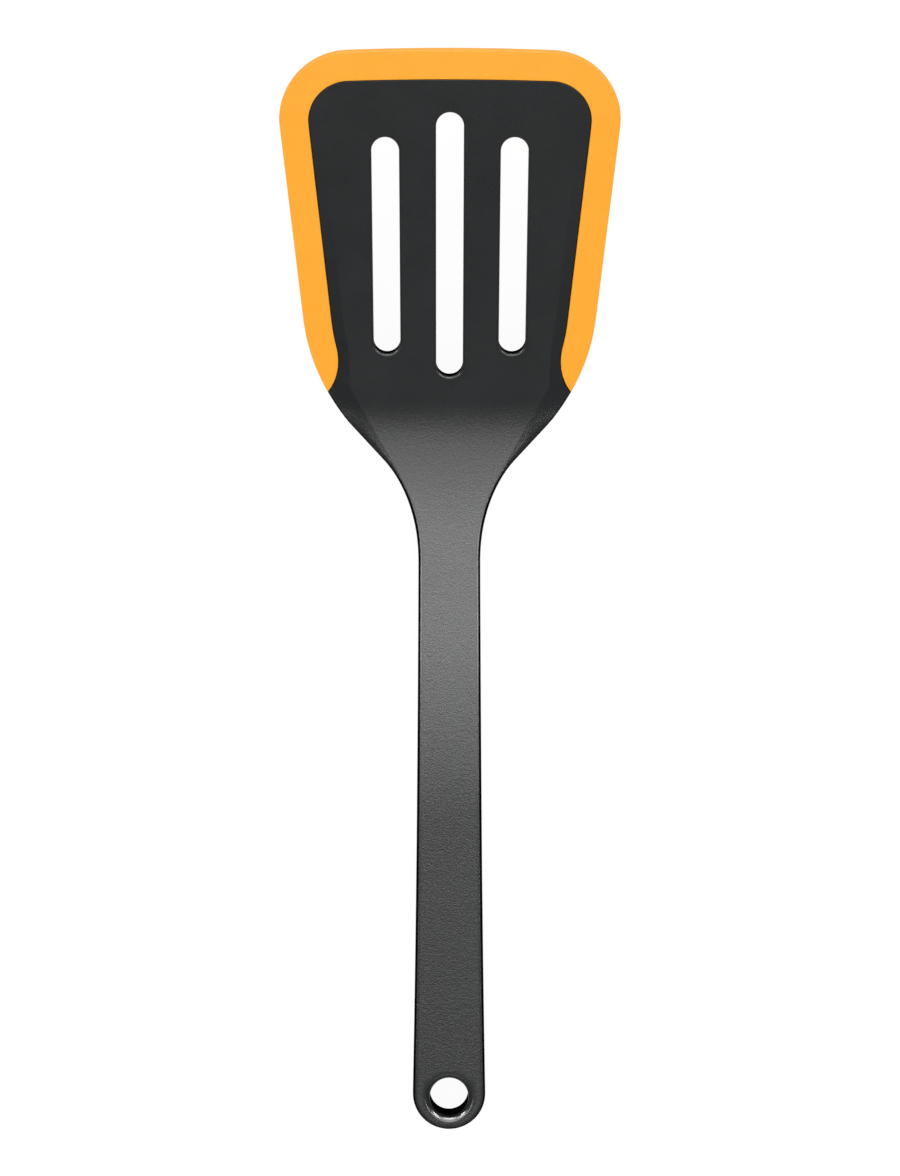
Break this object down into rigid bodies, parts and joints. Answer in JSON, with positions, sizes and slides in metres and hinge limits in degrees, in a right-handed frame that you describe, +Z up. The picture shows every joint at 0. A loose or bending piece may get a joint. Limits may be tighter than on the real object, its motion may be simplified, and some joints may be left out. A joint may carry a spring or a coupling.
{
  "type": "slotted turner",
  "caption": "Slotted kitchen turner: black nylon blade, curved neck and flat handle with a hanging hole, and an orange silicone edge moulded round the blade.",
  "frame": {"origin": "middle of the bounding box on the table, with z = 0 where the heel and the handle end touch it", "axes": "+Y from the handle end towards the blade tip, +Z up from the table, out of the worked face, +X to the right"},
  "size_m": [0.0914, 0.2956, 0.0462],
  "materials": {
    "black_nylon": "satin on the blade, finely spark-grained on the neck and handle",
    "orange_silicone": "soft satin"
  },
  "bodies": {
    "root": {"nylon_body": "black_nylon", "silicone_edge": "orange_silicone"}
  },
  "joints": []
}
